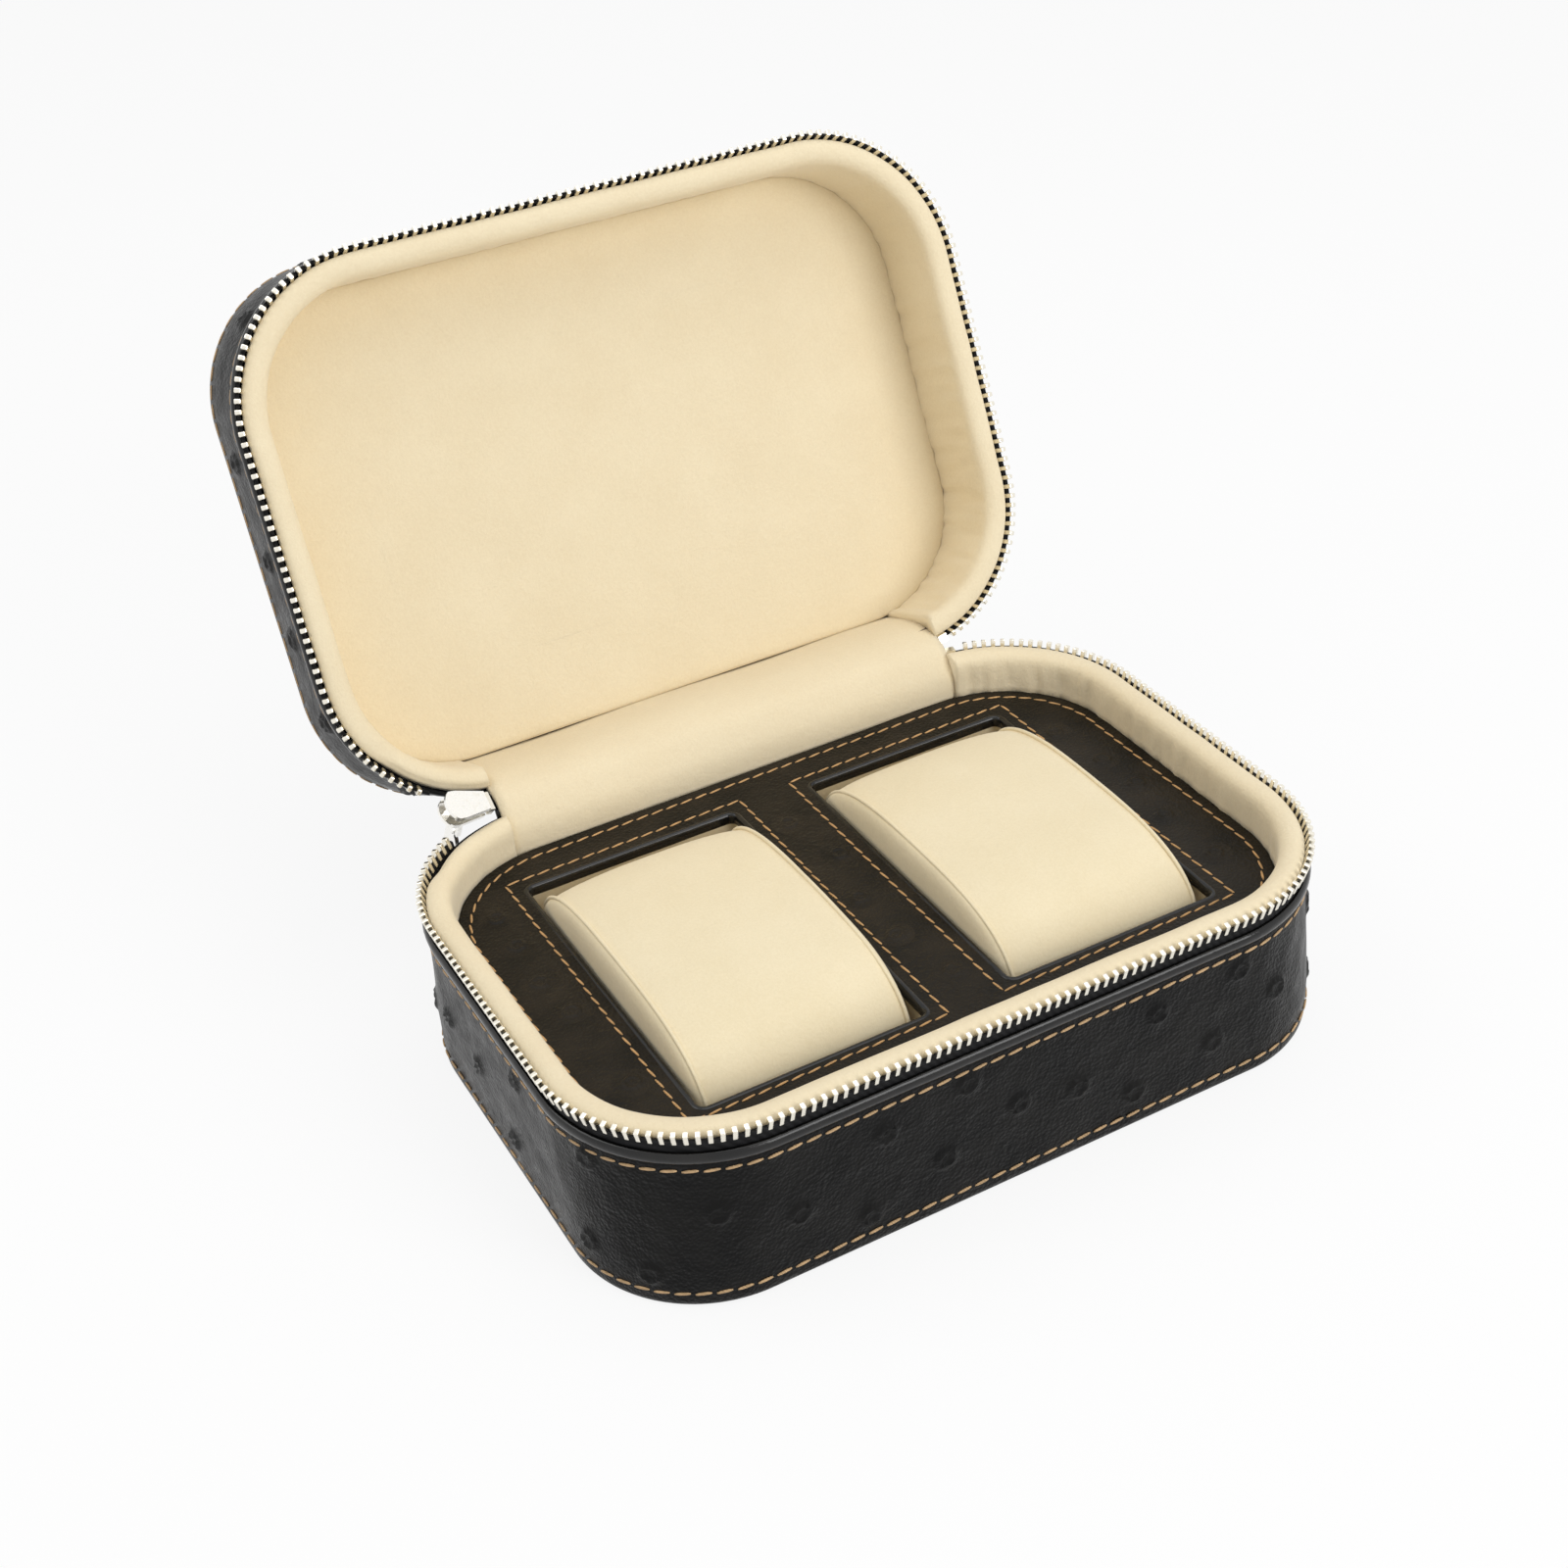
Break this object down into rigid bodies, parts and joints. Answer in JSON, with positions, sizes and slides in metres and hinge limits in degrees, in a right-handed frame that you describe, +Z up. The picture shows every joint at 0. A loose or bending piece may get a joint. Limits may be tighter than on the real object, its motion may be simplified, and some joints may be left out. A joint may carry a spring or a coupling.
{
  "type": "travel watch case",
  "caption": "Padded travel case with rounded corners, a lid hinged at the back that closes by a zip round three sides, and a tray with wells for lift-out watch cushions.",
  "frame": {"origin": "centre of the flat underside of the base, on the surface that the case stands on", "axes": "+X along the width, +Y from the front to the hinge, +Z up"},
  "size_m": [0.2006, 0.2263, 0.1776],
  "materials": {
    "leather_black": "grained, satin",
    "leather_trim": "smooth, semi-gloss",
    "zip_tape": "woven, matt",
    "polished_metal": "polished",
    "lining_cream": "soft, matt",
    "suede_cream": "suede, matt",
    "board": "pressed fibre board",
    "foam": "closed-cell foam"
  },
  "bodies": {
    "base": {"base_bottom_leather": "leather_black", "base_board": "board", "base_side_leather": "leather_black", "base_binding": "leather_trim", "base_zip_tape": "zip_tape", "base_zip_teeth": "polished_metal", "base_zip_stop": "polished_metal", "base_wall_lining": "lining_cream", "tray_collar": "board", "left_well": "lining_cream", "right_well": "lining_cream", "tray_board": "board", "tray_leather": "leather_black", "left_well_lip": "leather_trim", "right_well_lip": "leather_trim", "hinge_spine": "leather_trim", "hinge_lining": "lining_cream"},
    "lid": {"lid_top_leather": "leather_black", "lid_board": "board", "lid_side_leather": "leather_black", "lid_binding": "leather_trim", "lid_zip_tape": "zip_tape", "lid_zip_teeth": "polished_metal", "lid_zip_stop": "polished_metal", "lid_wall_lining": "lining_cream", "lid_ceiling_pad": "lining_cream"},
    "slider": {"slider_body": "polished_metal", "slider_bridge": "polished_metal", "zip_bottom_stop": "polished_metal"},
    "pull_link": {"pull_link": "polished_metal"},
    "pull_tab": {"pull_tab": "polished_metal"},
    "left_cushion": {"left_cushion_core": "foam", "left_cushion_cover": "suede_cream"},
    "right_cushion": {"right_cushion_core": "foam", "right_cushion_cover": "suede_cream"}
  },
  "joints": [
    {"name": "lid_hinge", "type": "hinge", "parent": "base", "child": "lid", "pos_m": [0, 0.06949, 0.05], "axis": [-1, 0, 0], "range_deg": [-114.5, 60], "deforming": ["hinge_spine", "hinge_lining"]},
    {"name": "slider_turn", "type": "hinge", "parent": "base", "child": "slider", "pos_m": [0, 0.06949, 0.05], "axis": [-1, 0, 0], "range_deg": [-57.25, 30]},
    {"name": "pull_link_swing", "type": "hinge", "parent": "slider", "child": "pull_link", "pos_m": [-0.07592, 0.07008, 0.04907], "axis": [0, -0.841, -0.541], "range_deg": [-85, 40]},
    {"name": "pull_tab_swing", "type": "hinge", "parent": "pull_link", "child": "pull_tab", "pos_m": [-0.07599, 0.07333, 0.04403], "axis": [0, 0.841, 0.541], "range_deg": [-50, 50]},
    {"name": "left_cushion_lift", "type": "slide", "parent": "base", "child": "left_cushion", "axis": [0, 0, 1], "range_m": [0, 0.06]},
    {"name": "right_cushion_lift", "type": "slide", "parent": "base", "child": "right_cushion", "axis": [0, 0, 1], "range_m": [0, 0.06]}
  ],
  "couplings": [
    {"joint": "slider_turn", "follows": "lid_hinge", "ratio": 0.5}
  ]
}
